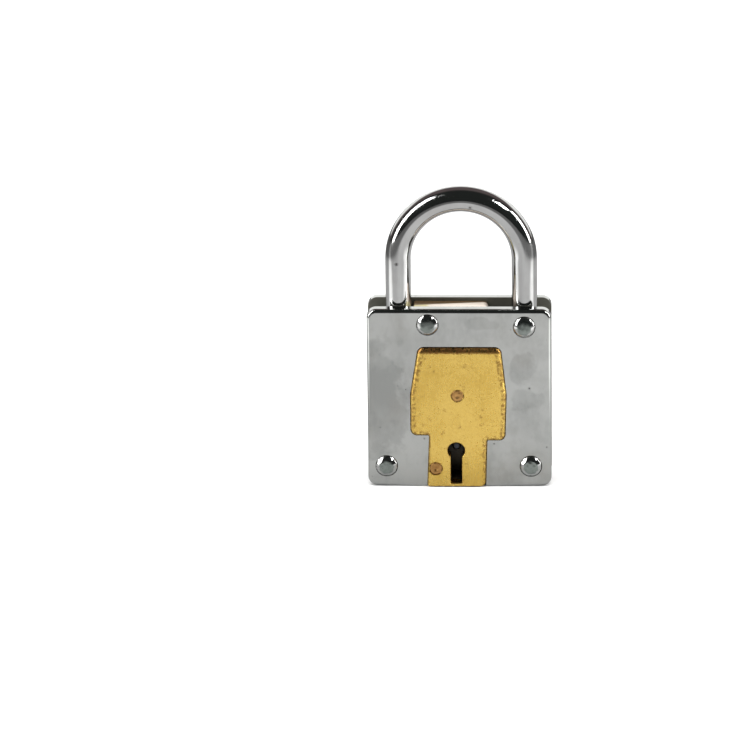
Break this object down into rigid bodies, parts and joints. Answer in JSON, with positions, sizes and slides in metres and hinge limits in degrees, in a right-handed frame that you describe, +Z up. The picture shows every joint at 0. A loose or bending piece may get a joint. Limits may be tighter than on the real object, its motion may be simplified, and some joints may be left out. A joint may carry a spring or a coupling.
{
  "type": "padlock",
  "caption": "Small plate padlock: two thick chromed plates riveted over a brass lever lock, with a brass keyhole plate in front and a round hinged shackle.",
  "frame": {"origin": "middle of the underside, halfway between the plates", "axes": "+X to the right, -Y towards the keyhole side, +Z up along the shackle"},
  "size_m": [0.05, 0.0162, 0.084],
  "materials": {
    "plate_chrome": "bright chrome plate with faint smudges and small pits",
    "shackle_chrome": "bright chrome plate, lightly scuffed",
    "rivet_chrome": "chrome plated, hammered",
    "strip_steel": "bare drawn steel",
    "escutcheon_brass": "scratched brass, tarnished at the edges",
    "case_brass": "plain brass with a dull skin",
    "post_copper": "peened red brass",
    "lever_brass": "stamped sheet brass",
    "bolt_steel": "stamped steel",
    "pin_steel": "turned steel",
    "spring_steel": "hardened strip"
  },
  "bodies": {
    "lock_body": {"front_plate": "plate_chrome", "rear_plate": "plate_chrome", "side_strip_left": "strip_steel", "side_strip_right": "strip_steel", "spacer_tube_left": "pin_steel", "spacer_tube_right": "pin_steel", "rivet_top_left": "rivet_chrome", "rivet_shackle_pivot": "rivet_chrome", "rivet_bottom_left": "rivet_chrome", "rivet_bottom_right": "rivet_chrome", "escutcheon": "escutcheon_brass", "escutcheon_rivet": "post_copper", "centre_post": "post_copper", "case_front": "case_brass", "case_body": "case_brass", "drill_pin": "pin_steel", "lever_post": "pin_steel"},
    "shackle": {"shackle": "shackle_chrome"},
    "bolt": {"bolt": "bolt_steel", "bolt_stump": "pin_steel"},
    "lever_rear": {"lever_rear": "lever_brass", "lever_spring_rear": "spring_steel"},
    "lever_middle": {"lever_middle": "lever_brass", "lever_spring_middle": "spring_steel"},
    "lever_front": {"lever_front": "lever_brass", "lever_spring_front": "spring_steel"}
  },
  "joints": [
    {"name": "shackle_swing", "type": "hinge", "parent": "lock_body", "child": "shackle", "pos_m": [0.0177, 0, 0.0461], "axis": [0, 1, 0], "range_deg": [0, 90]},
    {"name": "bolt_throw", "type": "slide", "parent": "lock_body", "child": "bolt", "axis": [-1, 0, 0], "range_m": [0, 0.0036]},
    {"name": "lever_rear_lift", "type": "hinge", "parent": "lock_body", "child": "lever_rear", "pos_m": [0.0102, 0, 0.027], "axis": [0, 1, 0], "range_deg": [-4, 3], "stiffness_Nm_per_rad": 0.006, "springref_deg": -20.05, "deforming": ["lever_spring_rear"]},
    {"name": "lever_middle_lift", "type": "hinge", "parent": "lock_body", "child": "lever_middle", "pos_m": [0.0102, 0, 0.027], "axis": [0, 1, 0], "range_deg": [-3.4, 3], "stiffness_Nm_per_rad": 0.006, "springref_deg": -20.05, "deforming": ["lever_spring_middle"]},
    {"name": "lever_front_lift", "type": "hinge", "parent": "lock_body", "child": "lever_front", "pos_m": [0.0102, 0, 0.027], "axis": [0, 1, 0], "range_deg": [-3.8, 3], "stiffness_Nm_per_rad": 0.006, "springref_deg": -20.05, "deforming": ["lever_spring_front"]}
  ]
}
